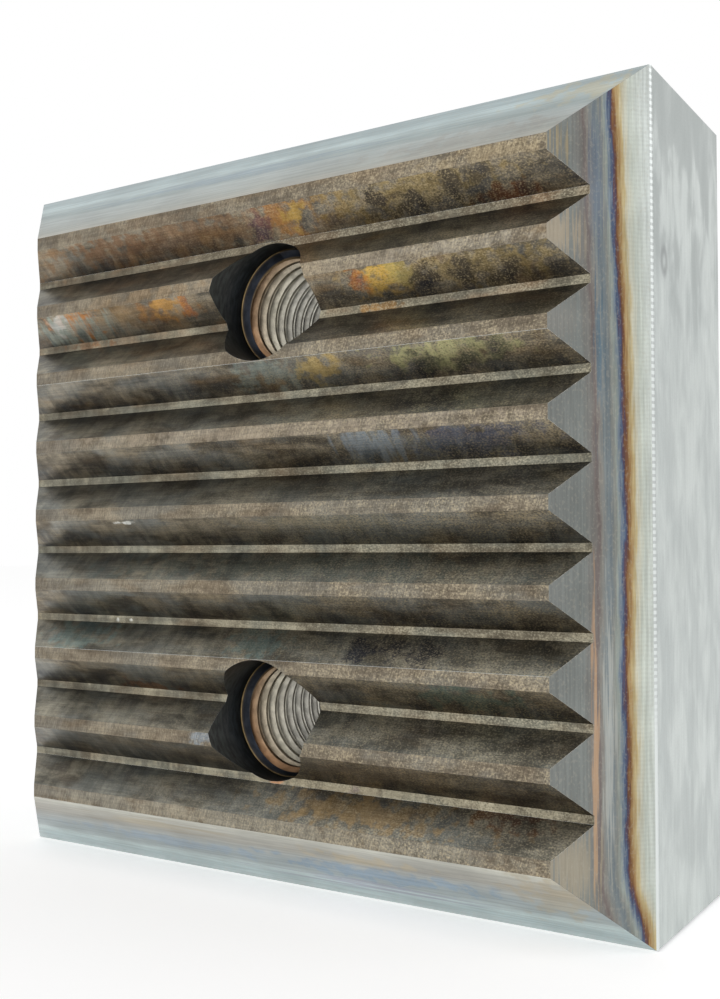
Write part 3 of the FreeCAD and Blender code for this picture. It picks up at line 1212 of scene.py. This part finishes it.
BOTTOM_PATCHES = (
    HeatPatch(16.0, 4.8, 17.0, 1.4, srgb(130, 154, 176), 0.6),
    HeatPatch(12.0, 2.6, 16.0, 0.7, srgb(158, 158, 176), 0.6, streaky=True),
    HeatPatch(-18.0, 4.6, 18.0, 1.0, srgb(144, 162, 180), 0.5),
    HeatPatch(14.0, 6.8, 9.0, 0.9, srgb(190, 172, 136), 0.5),
    HeatPatch(-20.0, 7.4, 12.0, 0.9, srgb(188, 172, 140), 0.5, streaky=True),
    HeatPatch(40.0, 6.0, 5.0, 3.0, srgb(176, 160, 130), 0.5),
)
TOP_PATCHES = (
    HeatPatch(43.0, 97.6, 7.0, 1.6, srgb(180, 172, 142), 0.6),
    HeatPatch(30.0, 93.0, 14.0, 1.4, srgb(150, 148, 140), 0.5),
    HeatPatch(-10.0, 96.0, 26.0, 0.8, srgb(140, 158, 172), 0.5, streaky=True),
)


def bevel_finishes() -> dict[Region, bpy.types.Material]:
    """Make the finishes of the four bevels."""
    return {
        Region.RIGHT_BEVEL: TemperedBevel(
            "right_bevel", RIGHT_BANDS, along_x=False, inner=HALF_WIDTH - BEVEL, wobble=0.2,
            curl=1.4, drift=0.6, milling=0.5, patches=RIGHT_PATCHES).material(),
        Region.LEFT_BEVEL: TemperedBevel(
            "left_bevel", RIGHT_BANDS, along_x=False, inner=BEVEL - HALF_WIDTH, outward=-1.0,
            milling=0.55).material(),
        Region.TOP_BEVEL: TemperedBevel(
            "top_bevel", TOP_BANDS, along_x=True, inner=HEIGHT - BEVEL, patches=TOP_PATCHES).material(),
        Region.BOTTOM_BEVEL: TemperedBevel(
            "bottom_bevel", BOTTOM_BANDS, along_x=True, inner=BEVEL, outward=-1.0,
            patches=BOTTOM_PATCHES).material(),
    }


def other_finishes() -> dict[Region, bpy.types.Material]:
    """Make the finishes of the sides, the back, the holes and the edges."""
    return {
        Region.SIDE: GroundSteel(
            "side", srgb(186, 192, 190), srgb(200, 206, 203), cloud=(4.0, 4.0, 11.0),
            patches=(HeatPatch(50.0, 98.0, 14.0, 18.0, srgb(168, 174, 172), 0.75),),
            rings=((-4.6, 78.2),)).material(),
        Region.BACK: GroundSteel(
            "back", srgb(186, 191, 189), srgb(198, 203, 201), cloud=(30.0, 14.0, 14.0)).material(),
        Region.MOUTH: BoreSteel("mouth", (
            (FRONT, srgb(118, 122, 124)), (-14.5, srgb(104, 108, 112)), (-12.0, srgb(64, 70, 78)),
            (-10.62, srgb(58, 60, 64)), (-10.56, srgb(196, 170, 120)), (-10.46, srgb(150, 124, 84)),
            (-10.38, srgb(44, 46, 50)), (-9.62, srgb(46, 50, 58)), (-9.52, srgb(140, 116, 80)))).material(),
        Region.THREAD: BoreSteel("thread", (
            (-9.6, srgb(84, 66, 50)), (-8.8, srgb(140, 108, 80)), (-7.9, srgb(164, 146, 122)),
            (-5.0, srgb(194, 188, 170)), (0.0, srgb(192, 189, 178)), (17.0, srgb(184, 182, 174)))).material(),
        Region.WORN_EDGE: EdgeSteel(
            "worn_edge", srgb(112, 102, 88), srgb(188, 178, 156)).material(),
        # Bright rubbed edge; on the hole rims it is also a painted highlight.
        Region.BRIGHT_EDGE: EdgeSteel(
            "bright_edge", srgb(182, 187, 185), srgb(222, 227, 225), bright_share=0.9,
            serration=0.75).material(),
        Region.MITRE: EdgeSteel(
            "mitre", srgb(74, 80, 92), srgb(136, 140, 142), bright_share=0.5, grain=0.3).material(),
        Region.GROOVE_END: EdgeSteel(
            "groove_end", srgb(142, 139, 131), srgb(236, 234, 226), bright_share=0.85).material(),
    }


class Finisher:
    """Gives each kind of face on the jaw its finish."""

    def __init__(self, jaw: JawBlock) -> None:
        """Keep the jaw at hand.

        Args:
            jaw: The machined jaw.
        """
        self.jaw = jaw

    def region(self, face: bpy.types.MeshPolygon) -> Region:
        """Tell which kind of face this is.

        Args:
            face: A face of the jaw.

        Returns:
            Its kind.
        """
        jaw = self.jaw
        point, normal = face.center, face.normal
        near = 2 * TOUCHING
        level = 0.01
        diagonal = math.sqrt(0.5)
        if normal.y > ALIGNED and point.y > jaw.high.y - near:
            return Region.BACK
        for hole in jaw.holes:
            radius = hole.radius_at(point)
            if radius < hole.mouth_radius + near:
                depth = point.y - jaw.front
                if depth > hole.mouth_depth + 0.96 * hole.cone_depth:
                    return Region.THREAD
                if abs(normal.y) < 0.2 or depth > jaw.groove_depth + near:
                    return Region.MOUTH
        if normal.y < -ALIGNED:
            return Region.LAND if point.y < jaw.front + near else Region.FLOOR
        if abs(normal.x) > ALIGNED or abs(normal.z) > ALIGNED:
            return Region.SIDE
        sloped = abs(normal.y + diagonal) < level
        if sloped and abs(normal.z) < level:
            return Region.RIGHT_BEVEL if normal.x > 0 else Region.LEFT_BEVEL
        if sloped and abs(normal.x) < level:
            if point.z > jaw.high.z - jaw.face_bevel and normal.z > 0:
                return Region.TOP_BEVEL
            if point.z < jaw.low.z + jaw.face_bevel and normal.z < 0:
                return Region.BOTTOM_BEVEL
            return Region.UPPER_FLANK if normal.z < 0 else Region.LOWER_FLANK
        across, up = abs(point.x), abs(point.z - jaw.middle_z)
        inner = jaw.inner_reach
        if min(across, up) > inner and abs(across - up) < 4 * jaw.worn_edge:
            return Region.MITRE
        if across > inner and abs(normal.y) < 0.95 and point.y < jaw.front + jaw.groove_depth + near:
            return Region.GROOVE_END
        # The hole rims' edges take the bright edge finish: rubbed steel that is also a painted highlight
        # along the rim.
        at_a_hole = any(hole.radius_at(point) < hole.mouth_radius + 3 * jaw.worn_edge for hole in jaw.holes)
        return Region.BRIGHT_EDGE if max(across, up) > inner or at_a_hole else Region.WORN_EDGE

    def dress(self) -> None:
        """Give every face of the jaw its finish, and smooth the worn edges."""
        piece = self.jaw.piece
        materials = {**gripping_finishes(), **bevel_finishes(), **other_finishes()}
        order = list(materials)
        for region in order:
            piece.data.materials.append(materials[region])
        for face in piece.data.polygons:
            face.material_index = order.index(self.region(face))
        Workbench.pick(piece)
        bpy.ops.object.shade_smooth_by_angle(angle=SMOOTH_TURN)
        Workbench.apply(piece, "WEIGHTED_NORMAL", keep_sharp=True, weight=80)


@dataclass(frozen=True)
class Studio:
    """Plain pale floor and soft light from all round."""

    floor_size: float = 6.0
    floor_colour: Colour = srgb(240, 240, 240)
    floor_roughness: float = 0.9
    floor_glow: float = 0.5
    sky: float = 0.55
    key_power: float = 1.2
    side_share: float = 0.6
    aim: tuple[float, float, float] = (0.0, 0.0, 0.05)

    def build(self) -> None:
        """Set the stage."""
        self.world()
        self.floor()
        self.lamp("key", Vector((0.25, -0.8, 0.95)), 0.7, self.key_power)
        self.lamp("side", Vector((0.9, 0.3, 0.6)), 0.6, self.side_share * self.key_power)

    @staticmethod
    def directly_seen(tree: bpy.types.NodeTree) -> bpy.types.NodeSocket:
        """Tell rays that come from the camera, a mirror or clear matter from the others.

        Args:
            tree: The node tree to add the test to.

        Returns:
            A number that is 1 for such rays and 0 for the others.
        """
        path = tree.nodes.new("ShaderNodeLightPath")
        seen = path.outputs["Is Camera Ray"]
        for kind in ("Is Glossy Ray", "Is Transmission Ray"):
            either = tree.nodes.new("ShaderNodeMath")
            either.operation = "MAXIMUM"
            tree.links.new(seen, either.inputs[0])
            tree.links.new(path.outputs[kind], either.inputs[1])
            seen = either.outputs[0]
        return seen

    def world(self) -> None:
        """Make the white surroundings that the metal mirrors."""
        world = bpy.data.worlds.new("surroundings")
        bpy.context.scene.world = world
        world.use_nodes = True
        tree = world.node_tree
        background = tree.nodes["Background"]
        background.inputs["Color"].default_value = (*WHITE, 1.0)
        level = tree.nodes.new("ShaderNodeMapRange")
        level.inputs["To Min"].default_value = self.sky
        level.inputs["To Max"].default_value = 1.0
        tree.links.new(self.directly_seen(tree), level.inputs["Value"])
        tree.links.new(level.outputs[0], background.inputs["Strength"])

    def floor(self) -> None:
        """Lay the floor that the jaw stands on."""
        Workbench.clear_selection()
        bpy.ops.mesh.primitive_plane_add(size=self.floor_size, location=(0, 0, 0))
        floor = bpy.context.object
        floor.name = "floor"
        material = bpy.data.materials.new("floor")
        material.use_nodes = True
        tree = material.node_tree
        shader = tree.nodes["Principled BSDF"]
        shader.inputs["Base Color"].default_value = (*self.floor_colour, 1.0)
        shader.inputs["Roughness"].default_value = self.floor_roughness
        shader.inputs["Specular IOR Level"].default_value = 0.0
        shader.inputs["Emission Color"].default_value = (*WHITE, 1.0)
        lift = tree.nodes.new("ShaderNodeMath")
        lift.operation = "MULTIPLY"
        tree.links.new(self.directly_seen(tree), lift.inputs[0])
        lift.inputs[1].default_value = self.floor_glow
        tree.links.new(lift.outputs[0], shader.inputs["Emission Strength"])
        floor.data.materials.append(material)

    def lamp(self, name: str, place: Vector, size: float, power: float) -> None:
        """Hang a large soft lamp that faces the jaw.

        Args:
            name: Name of the lamp.
            place: Where it hangs.
            size: Its width.
            power: Its power in watts.
        """
        light = bpy.data.lights.new(name, "AREA")
        light.size = size
        light.energy = power
        lamp = bpy.data.objects.new(name, light)
        lamp.location = place
        lamp.rotation_euler = (Vector(self.aim) - place).to_track_quat("-Z", "Y").to_euler()
        bpy.context.scene.collection.objects.link(lamp)


@dataclass(frozen=True)
class Viewpoint:
    """The camera: from the right of the gripping face, level with its middle."""

    place: Vector = field(default_factory=lambda: Vector((0.0928894, -0.1327050, 0.0446157)))
    tilt: float = 91.63367
    roll: float = 0.14943
    heading: float = 31.40607
    lens: float = 57.1928
    shift_x: float = -0.0621864
    shift_y: float = 0.0266972
    sensor_width: float = 36.0
    clip_start: float = 0.01

    def build(self) -> None:
        """Put the camera in place."""
        data = bpy.data.cameras.new("camera")
        data.sensor_fit = "HORIZONTAL"
        data.sensor_width = self.sensor_width
        data.lens = self.lens
        data.shift_x = self.shift_x
        data.shift_y = self.shift_y
        data.clip_start = self.clip_start
        camera = bpy.data.objects.new("camera", data)
        camera.location = self.place
        camera.rotation_euler = [math.radians(a) for a in (self.tilt, self.roll, self.heading)]
        bpy.context.scene.collection.objects.link(camera)
        bpy.context.scene.camera = camera


def main() -> None:
    """Build the jaw, dress it and set the stage."""
    logging.basicConfig(level=logging.INFO, format="%(message)s")
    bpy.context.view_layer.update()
    jaw = JawBlock.from_frame()
    piece = jaw.build()
    Finisher(jaw).dress()
    LOG.info("jaw: %d faces", len(piece.data.polygons))
    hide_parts(NODE)
    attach(piece, ROOT_BODY)
    Studio().build()
    Viewpoint().build()
    bpy.context.scene.view_settings.view_transform = "Standard"


if __name__ == "__main__":
    main()
